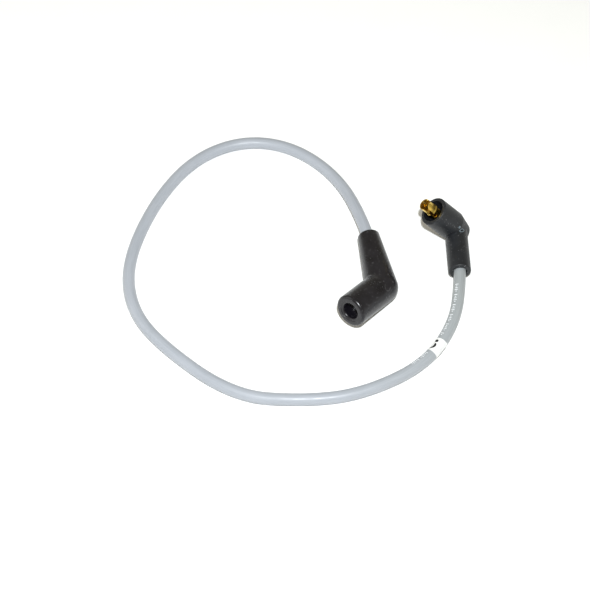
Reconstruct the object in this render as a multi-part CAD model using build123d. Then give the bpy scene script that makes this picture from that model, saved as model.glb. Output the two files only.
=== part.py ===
from build123d import *
import os
from math import cos, radians, sin, tan

# High-tension ignition lead: a length of screened silicone cable with an angled rubber boot
# and a metal terminal on each end. All sizes are in millimetres. +Z is up, the lead lies on
# the plane Z = 0, and the origin is below the middle of the two boots.

# ---------------------------------------------------------------- driving dimensions

# Cable, from the middle out. Each layer is named by its outer radius.
CONDUCTOR_RADIUS = 1.0
INSULATION_RADIUS = 2.55
BRAID_RADIUS = 2.80
JACKET_RADIUS = 3.50
LAYER_GAP = 0.05

# Where the cable's middle runs above the surface when the lead lies down.
CABLE_HEIGHT = 3.7

# Wrapped paper label on the cable.
LABEL_LENGTH = 11.0
LABEL_THICKNESS = 0.12
LABEL_FLAP_ANGLE = 70.0
LABEL_DISTANCE = 63.5        # from the transformer end of the loose cable to the label's middle

# Electrode boot: the long neck takes the cable, the arm takes the electrode's ceramic.
ELECTRODE_ELBOW = (-13.9, -12.5, 9.6)
ELECTRODE_NECK_AZIMUTH = 100.0
ELECTRODE_ROLL = 17.0
ELECTRODE_ANGLE = 128.0
ELECTRODE_NECK_LENGTH = 38.0
ELECTRODE_NECK_END_RADIUS = 6.4
ELECTRODE_NECK_ROOT_RADIUS = 9.5
ELECTRODE_ARM_LENGTH = 29.7
ELECTRODE_ARM_RADIUS = 9.6
ELECTRODE_MOUTH_RADIUS = 4.8
ELECTRODE_MOUTH_DEPTH = 7.2
ELECTRODE_MOUTH_EDGE = 1.6

# Contact socket inside the electrode boot.
SOCKET_OUTER_RADIUS = 4.1
SOCKET_INNER_RADIUS = 3.2
SOCKET_LENGTH = 12.0
SOCKET_FLOOR = 1.2
SOCKET_SLOT_WIDTH = 0.8
SOCKET_SLOT_DEPTH = 7.0
SOCKET_SEAT_DRAFT = 0.15     # the boot's cavity is this much wider at the mouth, to let the mould out
RING_SETBACK = 4.0           # from the socket's rim to the snap ring
RING_RADIUS = 3.8
RING_WIRE_RADIUS = 0.3
RING_GAP_ANGLE = 50.0

# Transformer boot: a right-angled boot with a tapered closed end.
TRANSFORMER_ELBOW = (31.2, 31.5, 8.4)
TRANSFORMER_NECK_AZIMUTH = -89.0
TRANSFORMER_ROLL = 49.0
TRANSFORMER_ANGLE = 90.0
TRANSFORMER_NECK_LENGTH = 32.0
TRANSFORMER_NECK_RADIUS = 6.5
TRANSFORMER_NECK_HOLE_RADIUS = 4.15
TRANSFORMER_BODY_LENGTH = 22.0
TRANSFORMER_BODY_RADIUS = 8.7
TRANSFORMER_MOUTH_RADIUS = 6.7
TRANSFORMER_MOUTH_DEPTH = 9.0
TRANSFORMER_MOUTH_EDGE = 0.6
TRANSFORMER_TAPER_START = 4.5
TRANSFORMER_TAPER_END_RADIUS = 5.7
TRANSFORMER_TAIL_LENGTH = 6.8
TRANSFORMER_TAIL_EDGE = 2.0

# Split snap terminal in the transformer boot.
SNAP_RADIUS = 3.5
SNAP_WALL = 0.5
SNAP_BASE = 8.0              # from the elbow to the terminal's closed base
SNAP_STANDOUT = 8.3          # from the boot's mouth to the fingertips
SNAP_NECK_RADIUS = 2.95
SNAP_NECK_START = 14.0       # from the elbow to where the neck begins
SNAP_NECK_RAMP = 0.6
SNAP_BEAD_RADIUS = 3.85
SNAP_BEAD_ABOVE_MOUTH = 1.4  # from the boot's mouth to the bead's middle
SNAP_BEAD_HALF_WIDTH = 0.2
SNAP_BEAD_RAMP = 1.0         # length of the slope on each side of the bead
SNAP_FINGER_ANGLE = 84.0
SNAP_SLOT_ANGLE = 33.0
SNAP_SLOT_BELOW_MOUTH = 2.4
SNAP_TIP_ROUND = 1.5
SNAP_FINGER_DIRECTION = -120.0

# Crimp and bent shank, the same on both terminals; measured from the elbow along the neck.
SHANK_RADIUS = 1.6
CRIMP_START = 5.0
CRIMP_STEP = 8.5
CRIMP_END = 13.6
CRIMP_CORE_OUTER_RADIUS = 1.9
CRIMP_OUTER_RADIUS = 3.15
CRIMP_WALL = 0.5
CONDUCTOR_END = 6.0
INSULATION_END = 9.2
JACKET_END = 14.2

# The cable turns inside a boot's neck between this depth and the neck's open end.
SWIVEL_DEPTH = 10.0
SWIVEL_FACE_GAP = 0.3
ELECTRODE_NECK_HOLE_RADIUS = 3.8
NECK_BORE_RADIUS = JACKET_RADIUS + LAYER_GAP
NECK_EDGE = 0.7

# First and last free point of the cable's route, beyond the necks' open ends.
ELECTRODE_EXIT_RUN = 8.0
TRANSFORMER_EXIT_RUN = 5.0

# Cable route on the surface, corner points of straight runs joined by arcs.
LOOSE_ROUTE = [
    (-36.5, 73.5, CABLE_HEIGHT),
    (-63.5, 98.5, CABLE_HEIGHT),
    (-94.5, 104.5, CABLE_HEIGHT),
    (-124.5, 90.0, CABLE_HEIGHT),
    (-146.5, 57.5, CABLE_HEIGHT),
    (-161.0, 13.5, CABLE_HEIGHT),
    (-158.5, -19.5, CABLE_HEIGHT),
    (-142.0, -46.0, CABLE_HEIGHT),
    (-98.0, -82.5, CABLE_HEIGHT),
    (-57.5, -85.5, CABLE_HEIGHT),
    (-26.5, -81.0, CABLE_HEIGHT),
    (8.5, -62.5, CABLE_HEIGHT + 0.2),
    (27.0, -35.0, CABLE_HEIGHT + 1.3),
]
ARC_SHARE = 0.45             # part of the shorter run that a corner's arc takes up

os.makedirs("parts", exist_ok=True)


# ---------------------------------------------------------------- helpers

def flat_direction(azimuth):
    """Unit vector in the XY plane."""
    return Vector(cos(radians(azimuth)), sin(radians(azimuth)), 0)


def boot_frame(elbow, neck_azimuth, roll):
    """Plane at a boot's elbow: local Z runs along the neck, local X leans towards the arm."""
    neck = flat_direction(neck_azimuth)
    level = Vector(0, 0, 1).cross(neck)
    if level.X > 0:
        level = level * -1
    side = level * cos(radians(roll)) + Vector(0, 0, 1) * sin(radians(roll))
    return Plane(origin=elbow, x_dir=side, z_dir=neck)


def turned(*outline):
    """Solid of revolution about Z from (radius, height) corner points."""
    face = Plane.XZ * make_face(Polyline(*outline, close=True))
    return revolve(face, Axis.Z)


def rod(radius, low, high):
    """Round bar about Z between two heights."""
    return turned((0, low), (radius, low), (radius, high), (0, high))


def tube(outer, inner, low, high):
    """Round tube about Z between two heights."""
    return turned((inner, low), (outer, low), (outer, high), (inner, high))


def domed(radius, height, top_radius=None):
    """Bar about Z from the elbow up to a height, closed below by a half ball at the elbow."""
    top_radius = top_radius or radius
    middle = radius * sin(radians(45))
    outline = Line((0, -radius), (0, height)) + Line((0, height), (top_radius, height))
    outline += Line((top_radius, height), (radius, 0))
    outline += ThreePointArc((radius, 0), (middle, -middle), (0, -radius))
    return revolve(Plane.XZ * make_face(outline), Axis.Z)


def rounded(solid, radius, height, fillet_radius):
    """Rounds the circular edge of a turned solid that has this radius and height."""
    edges = [
        edge for edge in solid.edges().filter_by(GeomType.CIRCLE)
        if abs(edge.center().Z - height) < 0.01 and abs(edge.radius - radius) < 0.01
    ]
    return fillet(edges, fillet_radius)


def arm_turn(angle):
    """Location that swings something built about Z onto a boot's arm."""
    return Location((0, 0, 0), (0, angle, 0))


def save(solid, node, color):
    """Names a sub-part and writes its STEP file."""
    solid.label = node
    solid.color = Color(color)
    export_step(solid, f"parts/{node}.step")
    print(f"{node:28s} volume {solid.volume:10.2f}")


# ---------------------------------------------------------------- cable

def cable_layers():
    """Outer and inner radius of each layer of the cable."""
    return {
        "jacket": (JACKET_RADIUS, BRAID_RADIUS + LAYER_GAP),
        "glass_braid": (BRAID_RADIUS, INSULATION_RADIUS + LAYER_GAP),
        "insulation": (INSULATION_RADIUS, CONDUCTOR_RADIUS + LAYER_GAP),
        "conductor": (CONDUCTOR_RADIUS, 0.0),
    }


def corner_radii(points):
    """Arc radius at each inner corner of a route: as large as its two runs allow."""
    radii = []
    for before, corner, after in zip(points, points[1:], points[2:]):
        run_in = corner - before
        run_out = after - corner
        turn = run_in.get_angle(run_out)
        radii.append(ARC_SHARE * min(run_in.length, run_out.length) / tan(radians(turn / 2)))
    return radii


def cable_path(electrode_frame, transformer_frame):
    """Middle line of the loose cable, from inside one neck to inside the other."""
    def on_neck(frame, distance):
        return frame.origin + frame.z_dir * distance

    points = [
        on_neck(electrode_frame, ELECTRODE_NECK_LENGTH - SWIVEL_DEPTH),
        on_neck(electrode_frame, ELECTRODE_NECK_LENGTH + ELECTRODE_EXIT_RUN),
    ]
    points += [Vector(*point) for point in LOOSE_ROUTE]
    points += [
        on_neck(transformer_frame, TRANSFORMER_NECK_LENGTH + TRANSFORMER_EXIT_RUN),
        on_neck(transformer_frame, TRANSFORMER_NECK_LENGTH - SWIVEL_DEPTH),
    ]
    radii = corner_radii(points)
    print("runs ", [round((b - a).length, 1) for a, b in zip(points, points[1:])])
    print("radii", [round(radius, 1) for radius in radii])
    return FilletPolyline(*points, radius=radii)


def ring(outer, inner):
    """Flat ring, or a disc where the inner radius is zero."""
    shape = Circle(outer)
    if inner > 0:
        shape -= Circle(inner)
    return shape


def make_cable(path):
    """Loose cable: every layer follows the same path."""
    start = Plane(origin=path @ 0, z_dir=path % 0)
    print(f"loose cable length {path.length:.1f}")
    for layer, (outer, inner) in cable_layers().items():
        section = start * ring(outer, inner)
        solid = sweep(section, path)
        print(f"  {layer} section x length {section.area * path.length:.1f}")
        save(solid, f"cable_{layer}", LAYER_COLORS[layer])


def make_label(path):
    """Paper band round the cable, with its glued end lapped over its start."""
    middle = 1 - LABEL_DISTANCE / path.length
    half = LABEL_LENGTH / path.length / 2
    stretch = path.trim(middle - half, middle + half)
    start = Plane(origin=stretch @ 0, x_dir=(0, 0, 1), z_dir=stretch % 0)
    inner = JACKET_RADIUS + LAYER_GAP / 2
    outer = inner + LABEL_THICKNESS
    flap = ring(outer + LABEL_THICKNESS, outer - LABEL_THICKNESS / 2)
    corner = 2 * outer
    half_angle = radians(LABEL_FLAP_ANGLE / 2)
    wedge = make_face(Polyline(
        (0, 0),
        (corner * cos(half_angle), corner * sin(half_angle)),
        (corner * cos(half_angle), -corner * sin(half_angle)),
        close=True,
    ))
    section = start * (ring(outer, inner) + (flap & wedge))
    save(sweep(section, stretch), "cable_label", "white")


LAYER_COLORS = {
    "jacket": "lightsteelblue",
    "glass_braid": "wheat",
    "insulation": "lightgray",
    "conductor": "orange",
}


def make_cable_end(frame, prefix, neck_length):
    """The stretch of cable held by a boot, cut back in steps for the crimp."""
    low = {
        "jacket": JACKET_END,
        "glass_braid": JACKET_END,
        "insulation": INSULATION_END,
        "conductor": CONDUCTOR_END,
    }
    high = neck_length - SWIVEL_DEPTH - SWIVEL_FACE_GAP
    for layer, (outer, inner) in cable_layers().items():
        solid = frame * tube(outer, inner, low[layer], high)
        save(solid, f"{prefix}_end_{layer}", LAYER_COLORS[layer])


def crimp_and_shank(arm_direction, shank_reach, bend_radius):
    """Crimp on the cable's end and the bent shank that leads from it into the arm."""
    core = rod(CRIMP_CORE_OUTER_RADIUS, CRIMP_START, CRIMP_STEP + CRIMP_WALL)
    barrel = rod(CRIMP_OUTER_RADIUS, CRIMP_STEP, CRIMP_END)
    crimp = core + barrel
    crimp -= rod(CONDUCTOR_RADIUS + LAYER_GAP, CONDUCTOR_END - LAYER_GAP, CRIMP_END)
    crimp -= rod(INSULATION_RADIUS + LAYER_GAP, CRIMP_STEP + CRIMP_WALL, CRIMP_END)
    overlap = 0.5
    line = FilletPolyline(
        (0, 0, CRIMP_START + overlap), (0, 0, 0), arm_direction * shank_reach, radius=bend_radius,
    )
    shank = sweep(Plane(origin=line @ 0, z_dir=line % 0) * Circle(SHANK_RADIUS), line)
    return crimp + shank


# ---------------------------------------------------------------- electrode end

def electrode_boot():
    """Rubber boot with a tapered neck and an arm at an obtuse angle."""
    turn = arm_turn(ELECTRODE_ANGLE)
    arm = rounded(
        domed(ELECTRODE_ARM_RADIUS, ELECTRODE_ARM_LENGTH),
        ELECTRODE_ARM_RADIUS, ELECTRODE_ARM_LENGTH, ELECTRODE_MOUTH_EDGE,
    )
    neck = turned(
        (0, 0), (ELECTRODE_NECK_ROOT_RADIUS, 0),
        (ELECTRODE_NECK_END_RADIUS, ELECTRODE_NECK_LENGTH), (0, ELECTRODE_NECK_LENGTH),
    )
    neck = rounded(neck, ELECTRODE_NECK_END_RADIUS, ELECTRODE_NECK_LENGTH, NECK_EDGE)
    body = turn * arm + neck
    seat = SOCKET_OUTER_RADIUS + LAYER_GAP
    mouth_floor = ELECTRODE_ARM_LENGTH - ELECTRODE_MOUTH_DEPTH
    body -= turn * domed(seat, mouth_floor, seat + SOCKET_SEAT_DRAFT)
    body -= turn * rod(ELECTRODE_MOUTH_RADIUS, mouth_floor, ELECTRODE_ARM_LENGTH)
    body -= domed(NECK_BORE_RADIUS, ELECTRODE_NECK_LENGTH)
    swivel = ELECTRODE_NECK_LENGTH - SWIVEL_DEPTH - SWIVEL_FACE_GAP
    body -= rod(ELECTRODE_NECK_HOLE_RADIUS, swivel, ELECTRODE_NECK_LENGTH)
    return body


def socket_rim():
    """Distance from the elbow to the contact socket's open rim."""
    return ELECTRODE_ARM_LENGTH - ELECTRODE_MOUTH_DEPTH - LAYER_GAP


def electrode_socket():
    """Contact socket for the electrode's stud, in one piece with its shank and crimp."""
    turn = arm_turn(ELECTRODE_ANGLE)
    rim = socket_rim()
    base = rim - SOCKET_LENGTH
    socket = rod(SOCKET_OUTER_RADIUS, base, rim)
    socket -= rod(SOCKET_INNER_RADIUS, base + SOCKET_FLOOR, rim)
    slot = Pos(0, 0, rim) * Box(
        3 * SOCKET_OUTER_RADIUS, SOCKET_SLOT_WIDTH, 2 * SOCKET_SLOT_DEPTH,
    )
    socket -= slot
    groove_wall = 0.05
    groove_low = rim - RING_SETBACK - RING_WIRE_RADIUS - groove_wall
    groove_high = rim - RING_SETBACK + RING_WIRE_RADIUS + groove_wall
    groove_floor = RING_RADIUS - RING_WIRE_RADIUS - groove_wall
    socket -= tube(SOCKET_OUTER_RADIUS + 1, groove_floor, groove_low, groove_high)
    arm_direction = Vector(sin(radians(ELECTRODE_ANGLE)), 0, cos(radians(ELECTRODE_ANGLE)))
    shank = crimp_and_shank(arm_direction, base + SOCKET_FLOOR / 2, bend_radius=6.0)
    return turn * socket + shank


def electrode_snap_ring():
    """Open ring of spring wire in the socket's groove; it grips the electrode's stud."""
    height = socket_rim() - RING_SETBACK
    wire = Plane.XZ * (Pos(RING_RADIUS, height) * Circle(RING_WIRE_RADIUS))
    solid = revolve(wire, Axis.Z, 360 - RING_GAP_ANGLE)
    return arm_turn(ELECTRODE_ANGLE) * solid


def make_electrode_end(frame):
    save(frame * electrode_boot(), "electrode_boot", "dimgray")
    save(frame * electrode_socket(), "electrode_socket", "gold")
    save(frame * electrode_snap_ring(), "electrode_snap_ring", "silver")
    make_cable_end(frame, "electrode", ELECTRODE_NECK_LENGTH)


# ---------------------------------------------------------------- transformer end

def transformer_boot():
    """Right-angled rubber boot whose wide mouth surrounds the snap terminal."""
    turn = arm_turn(TRANSFORMER_ANGLE)
    body = turned(
        (0, -TRANSFORMER_TAIL_LENGTH),
        (TRANSFORMER_TAPER_END_RADIUS, -TRANSFORMER_TAIL_LENGTH),
        (TRANSFORMER_BODY_RADIUS, TRANSFORMER_TAPER_START),
        (TRANSFORMER_BODY_RADIUS, TRANSFORMER_BODY_LENGTH),
        (0, TRANSFORMER_BODY_LENGTH),
    )
    body = rounded(
        body, TRANSFORMER_TAPER_END_RADIUS, -TRANSFORMER_TAIL_LENGTH, TRANSFORMER_TAIL_EDGE,
    )
    body = rounded(
        body, TRANSFORMER_BODY_RADIUS, TRANSFORMER_BODY_LENGTH, TRANSFORMER_MOUTH_EDGE,
    )
    neck = rounded(
        rod(TRANSFORMER_NECK_RADIUS, 0, TRANSFORMER_NECK_LENGTH),
        TRANSFORMER_NECK_RADIUS, TRANSFORMER_NECK_LENGTH, NECK_EDGE,
    )
    boot = turn * body + neck
    mouth_floor = TRANSFORMER_BODY_LENGTH - TRANSFORMER_MOUTH_DEPTH
    boot -= turn * rod(TRANSFORMER_MOUTH_RADIUS, mouth_floor, TRANSFORMER_BODY_LENGTH)
    boot -= turn * domed(SNAP_RADIUS + LAYER_GAP, mouth_floor)
    boot -= domed(NECK_BORE_RADIUS, TRANSFORMER_NECK_LENGTH)
    swivel = TRANSFORMER_NECK_LENGTH - SWIVEL_DEPTH - SWIVEL_FACE_GAP
    boot -= rod(TRANSFORMER_NECK_HOLE_RADIUS, swivel, TRANSFORMER_NECK_LENGTH)
    return boot


def snap_tube():
    """The snap terminal's tube before it is split: base, neck, bead and straight fingers."""
    bead_low = TRANSFORMER_BODY_LENGTH + SNAP_BEAD_ABOVE_MOUTH - SNAP_BEAD_HALF_WIDTH
    bead_high = bead_low + 2 * SNAP_BEAD_HALF_WIDTH
    tip = TRANSFORMER_BODY_LENGTH + SNAP_STANDOUT

    def profile(inset, low):
        tube_radius = SNAP_RADIUS - inset
        neck_radius = SNAP_NECK_RADIUS - inset
        bead_radius = SNAP_BEAD_RADIUS - inset
        return turned(
            (0, low), (tube_radius, low), (tube_radius, SNAP_NECK_START),
            (neck_radius, SNAP_NECK_START + SNAP_NECK_RAMP),
            (neck_radius, bead_low - SNAP_BEAD_RAMP), (bead_radius, bead_low),
            (bead_radius, bead_high), (tube_radius, bead_high + SNAP_BEAD_RAMP),
            (tube_radius, tip), (0, tip),
        )

    return profile(0, SNAP_BASE) - profile(SNAP_WALL, SNAP_BASE + SNAP_WALL)


def upright_plate(half_width, low, high, depth_low, depth_high):
    """Block from X = depth_low to depth_high, centred on Y, between two heights."""
    size = Box(depth_high - depth_low, 2 * half_width, high - low)
    return Pos((depth_low + depth_high) / 2, 0, (low + high) / 2) * size


def split_snap():
    """Snap terminal split into one narrow finger with a round tip and one wide one."""
    tip = TRANSFORMER_BODY_LENGTH + SNAP_STANDOUT
    slot_floor = TRANSFORMER_BODY_LENGTH - SNAP_SLOT_BELOW_MOUTH
    reach = 2 * SNAP_RADIUS
    whole = snap_tube()
    finger_half = SNAP_RADIUS * sin(radians(SNAP_FINGER_ANGLE / 2))
    opening_half = SNAP_RADIUS * sin(radians(SNAP_FINGER_ANGLE / 2 + SNAP_SLOT_ANGLE))
    wide = whole - upright_plate(opening_half, slot_floor, tip + 1, 0, reach)
    corner_x = SNAP_RADIUS * cos(radians(SNAP_FINGER_ANGLE / 2 + SNAP_SLOT_ANGLE)) - SNAP_TIP_ROUND
    corner_z = tip - SNAP_TIP_ROUND
    corner = upright_plate(reach, corner_z, tip + 1, corner_x, reach)
    corner -= Pos(corner_x, 0, corner_z) * Rot(90, 0, 0) * Cylinder(SNAP_TIP_ROUND, 3 * reach)
    wide -= corner
    finger = upright_plate(finger_half, slot_floor - 1, tip - finger_half, 0, reach)
    round_tip = Pos(reach / 2, 0, tip - finger_half) * Rot(0, 90, 0) * Cylinder(finger_half, reach)
    return wide + (whole & (finger + round_tip))


def transformer_terminal():
    """Split snap terminal, in one piece with its shank and crimp."""
    snap = Rot(0, 0, SNAP_FINGER_DIRECTION) * split_snap()
    shank = crimp_and_shank(Vector(1, 0, 0), SNAP_BASE + SNAP_WALL / 2, bend_radius=3.5)
    return arm_turn(TRANSFORMER_ANGLE) * snap + shank


def make_transformer_end(frame):
    save(frame * transformer_boot(), "transformer_boot", "darkslategray")
    save(frame * transformer_terminal(), "transformer_terminal", "goldenrod")
    make_cable_end(frame, "transformer", TRANSFORMER_NECK_LENGTH)


# ---------------------------------------------------------------- the lead

electrode_frame = boot_frame(ELECTRODE_ELBOW, ELECTRODE_NECK_AZIMUTH, ELECTRODE_ROLL)
transformer_frame = boot_frame(TRANSFORMER_ELBOW, TRANSFORMER_NECK_AZIMUTH, TRANSFORMER_ROLL)
loose_path = cable_path(electrode_frame, transformer_frame)
make_cable(loose_path)
make_label(loose_path)
make_electrode_end(electrode_frame)
make_transformer_end(transformer_frame)
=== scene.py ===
from math import acos, cos, hypot, radians, sin, sqrt, tau

import bmesh
import bpy
import numpy as np
from mathutils import Matrix, Vector
from mathutils.bvhtree import BVHTree


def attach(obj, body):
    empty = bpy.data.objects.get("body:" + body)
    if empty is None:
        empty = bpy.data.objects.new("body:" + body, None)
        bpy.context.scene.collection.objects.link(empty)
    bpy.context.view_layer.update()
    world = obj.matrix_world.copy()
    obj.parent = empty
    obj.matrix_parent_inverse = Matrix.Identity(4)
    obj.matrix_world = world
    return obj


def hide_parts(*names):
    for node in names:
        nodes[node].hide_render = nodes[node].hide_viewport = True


# Looks for the high-tension ignition lead: braided silicone cable, two rubber boots and their
# contacts. The frame is in metres. Sizes are in metres here, or as N * MM, except where a
# comment says millimetres.

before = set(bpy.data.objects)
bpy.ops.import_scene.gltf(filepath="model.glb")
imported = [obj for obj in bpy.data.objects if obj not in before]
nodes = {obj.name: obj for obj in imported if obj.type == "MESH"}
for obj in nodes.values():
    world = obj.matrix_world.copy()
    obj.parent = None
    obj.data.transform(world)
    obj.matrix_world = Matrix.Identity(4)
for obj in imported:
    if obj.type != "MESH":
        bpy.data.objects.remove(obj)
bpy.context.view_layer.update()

MM = 0.001

# ---------------------------------------------------------------- sizes of the cable

CONDUCTOR_RADIUS = 1.0 * MM
INSULATION_RADIUS = 2.55 * MM
BRAID_RADIUS = 2.80 * MM
JACKET_RADIUS = 3.50 * MM
LAYER_GAP = 0.05 * MM
CABLE_SIDES = 48
CABLE_STEP = 1.5 * MM          # between the rings of a cable layer
DARKER_FROM = 0.42            # metres along the cable where the sleeve begins to turn darker and greener
DARKER_FULLY = 0.52

# The label is 1 mm shorter than the CAD's, and half a millimetre further from the cable's end.
LABEL_LENGTH = 10.0 * MM
LABEL_DISTANCE = 64.0 * MM     # from the transformer end of the loose cable to the label's middle
LABEL_THICKNESS = 0.12 * MM
LABEL_GAP = 0.02 * MM          # between the cable and the label
LABEL_START = radians(-95)
LABEL_LAP = radians(40)
LABEL_CLIMB = 0.12             # radians in which the lapped end climbs onto the label's start
LABEL_CLIMB_HEIGHT = 1.05 * LABEL_THICKNESS
LABEL_TAIL_LIFT = 0.30 * MM    # how far the lapped end stands off at its edge
LABEL_SIDES = 72
LABEL_STEP = 1.0 * MM

# Dot printed on the label: distance back from the cable's end, place round it and size.
LABEL_DOT_BACK = 61.5 * MM
LABEL_DOT_AROUND = 1.85 * MM
LABEL_DOT_RADIUS = 1.0 * MM
LABEL_DOT_WIDENING = 1.1       # width round the cable, as a share of the length along it

# Crescent printed on the label, in millimetres: distance back, place round the cable, half width.
LABEL_CRESCENT = (
    (63.4, 1.60, 0.35), (63.9, 1.20, 0.60), (64.6, 0.95, 0.72), (65.4, 0.90, 0.72),
    (66.2, 1.10, 0.64), (66.9, 1.55, 0.50), (67.5, 2.15, 0.34), (68.0, 2.85, 0.16),
)

# Painted shade along the label's outer side, where it turns away from the light, in millimetres: distance
# back, place round, half width.
LABEL_PAINTED_SHADE = (
    (60.0, -6.7, 0.15), (61.1, -6.5, 0.60), (62.6, -6.3, 1.00), (64.2, -6.2, 1.15),
    (65.8, -6.3, 1.00), (67.2, -6.5, 0.60), (68.2, -6.7, 0.15),
)
PAINTED_SHADE_LIFT = 0.06 * MM         # middle of the painted shade stripe above the label
PAINTED_SHADE_HEIGHT = 0.10 * MM

# Tick marks printed along the cable, in two rows measured from its transformer end.
PRINT_ROWS = ((20.5 * MM, 56.0 * MM), (71.5 * MM, 83.0 * MM))
PRINT_PITCH = 1.15 * MM
PRINT_GROUP = 6                # the last place of each group is left empty
PRINT_HEIGHT = 0.03 * MM
PRINT_LENGTHS = (2.0 * MM, 0.9 * MM, 1.6 * MM)
PRINT_HALF_WIDTH = 0.22 * MM
PRINT_ANGLE = radians(29)

# Control points of the cable's route, from the electrode boot to the transformer boot.
ROUTE = [
    (-0.01876, 0.01507, 0.0096),
    (-0.02189, 0.03280, 0.0096),
    (-0.0365, 0.0735, 0.0037),
    (-0.0635, 0.0985, 0.0037),
    (-0.0945, 0.1045, 0.0037),
    (-0.1245, 0.0900, 0.0037),
    (-0.1465, 0.0575, 0.0037),
    (-0.1610, 0.0135, 0.0037),
    (-0.1585, -0.0195, 0.0037),
    (-0.1420, -0.0460, 0.0037),
    (-0.0980, -0.0825, 0.0037),
    (-0.0575, -0.0855, 0.0037),
    (-0.0265, -0.0810, 0.0037),
    (0.0085, -0.0625, 0.0039),
    (0.0270, -0.0350, 0.0050),
    (0.0320, -0.00549, 0.0084),
    (0.0319, 0.00950, 0.0084),
]

# ---------------------------------------------------------------- sizes of the boots

# Elbow, direction of the neck, roll of the arm and angle between the two, and sizes in
# millimetres in the boot's own frame (origin at the elbow, Z along the neck, X towards the arm).
ELECTRODE_ELBOW = (-13.9, -12.5, 9.6)
ELECTRODE_NECK_AZIMUTH = 100.0
ELECTRODE_ROLL = 17.0
ELECTRODE_ANGLE = radians(128.0)
ELECTRODE_NECK_LENGTH = 38.0
ELECTRODE_NECK_END_RADIUS = 6.4
ELECTRODE_NECK_ROOT_RADIUS = 9.5
ELECTRODE_NECK_BORE = 3.55
ELECTRODE_NECK_MOUTH_RADIUS = 3.8
ELECTRODE_NECK_MOUTH_FLOOR = 27.7
ELECTRODE_ARM_LENGTH = 29.7
ELECTRODE_ARM_RADIUS = 9.6
ELECTRODE_ARM_BORE = 4.15
ELECTRODE_ARM_BORE_END = 4.3   # the bore widens a little towards the mouth
ELECTRODE_MOUTH_RADIUS = 4.8
ELECTRODE_MOUTH_DEPTH = 7.2
ELECTRODE_RECESS_DEPTH = 0.35  # shallow recess in the face round the mouth
ELECTRODE_RECESS_RADIUS = 6.5
ELECTRODE_RECESS_FLOOR_RADIUS = 6.2
ELECTRODE_CREASE = 1.6         # rounding of the inside corner between neck and arm
ELECTRODE_MARK_PLACE = (0.6, 7.7, -5.6)
ELECTRODE_MARK_INWARD = (0.0, -0.8, 0.6)
ELECTRODE_MARK_HALF_SIZES = (1.9 * MM, 2.3 * MM)
ELECTRODE_MARK_SHARE = 0.6     # share of the full ring
ELECTRODE_MARK_WIRE = 0.16 * MM

BOOT_SIDES = 96
ELBOW_STEPS = 20               # slices of the fan of rings round an elbow
OUTLINE_STEP = 2.0             # rough distance between rings where an outline is straight
CORNER_STEPS = 6
BEAD_SIDES = 10
BEAD_STEPS = 32                # round a closed bead, and along an open one
OPEN_BEAD_STEPS = 24
BEAD_DROP = 20.0 * MM          # height from which a moulded mark is dropped onto its boot

TRANSFORMER_ELBOW = (31.2, 31.5, 8.4)
TRANSFORMER_NECK_AZIMUTH = -89.0
TRANSFORMER_ROLL = 49.0

# Name, place in the boot's own frame, half sizes and radius of the bead.
TRANSFORMER_MARKS = (
    ("transformer_boot_oval", (2.7, -6.0, 6.3), (1.55 * MM, 0.85 * MM), 0.25 * MM),
    ("transformer_boot_dot", (5.7, -6.4, 5.9), (0.40 * MM, 0.34 * MM), 0.38 * MM),
)

# Split snap terminal, in millimetres and degrees: heights are along the transformer boot's arm,
# and SNAP_PROFILE is a list of (height, outer radius).
SNAP_RADIUS = 3.5
SNAP_WALL = 0.5
SNAP_TIP = 30.3
SNAP_PROFILE = (
    (13.9, 3.5), (14.4, 2.95), (22.0, 2.95), (22.35, 3.15), (22.8, 3.62), (23.1, 3.79),
    (23.35, 3.85), (23.55, 3.83), (23.75, 3.76), (23.95, 3.64), (24.15, 3.54), (24.4, 3.5),
)
SNAP_TUBE_ROWS = (8.0, 9.0, 12.0, 13.9, 14.4, 17.0, 19.6)    # from the base to the slots' floor
SNAP_FINGER_ROWS = (
    20.8, 22.0, 22.35, 22.8, 23.1, 23.35, 23.55, 23.75, 23.95, 24.15, 24.4, 25.5,
)
SNAP_FINGER_ANGLE = 84.0
SNAP_SLOT_ANGLE = 33.0
SNAP_TIP_ROUND = 1.5
SNAP_FINGER_DIRECTION = -120.0
SNAP_TIP_ROWS = 10
SNAP_EDGE_ROUND = 0.09

# ---------------------------------------------------------------- camera and light

VIEW_TARGET = Vector((-0.0635, -0.0109, 0.0))
VIEW_ELEVATION = radians(54.0)
VIEW_DISTANCE = 0.950
VIEW_LENS_MM = 100.3
VIEW_SENSOR_MM = 36.0

FLASH_RIGHT = 0.03             # from the camera, as the camera sees it
FLASH_UP = 0.12
FLASH_SIZE = 0.04
FLASH_WATTS = 10.9
FLASH_COLOUR = (0.93, 0.97, 1.0)
BOX_PLACE = (-0.75, 0.00, 0.38)    # soft box on the left
BOX_WIDTH = 0.35
BOX_HEIGHT = 0.6
BOX_WATTS = 1.2
SURROUNDINGS_COLOUR = (1.0, 0.94, 0.76, 1.0)
SURROUNDINGS_STRENGTH = 0.36
FLOOR_HALF = 2.0


def make_camera():
    back = Vector((0, -cos(VIEW_ELEVATION), sin(VIEW_ELEVATION)))
    data = bpy.data.cameras.new("camera")
    data.lens = VIEW_LENS_MM
    data.sensor_width = VIEW_SENSOR_MM
    camera = bpy.data.objects.new("camera", data)
    camera.location = VIEW_TARGET + back * VIEW_DISTANCE
    camera.rotation_euler = (-back).to_track_quat("-Z", "Y").to_euler()
    bpy.context.scene.collection.objects.link(camera)
    bpy.context.scene.camera = camera
    bpy.context.view_layer.update()


# ---------------------------------------------------------------- mesh helpers

SMOOTH_BELOW = radians(35.0)   # an edge between faces that meet at more than this stays sharp


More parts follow.
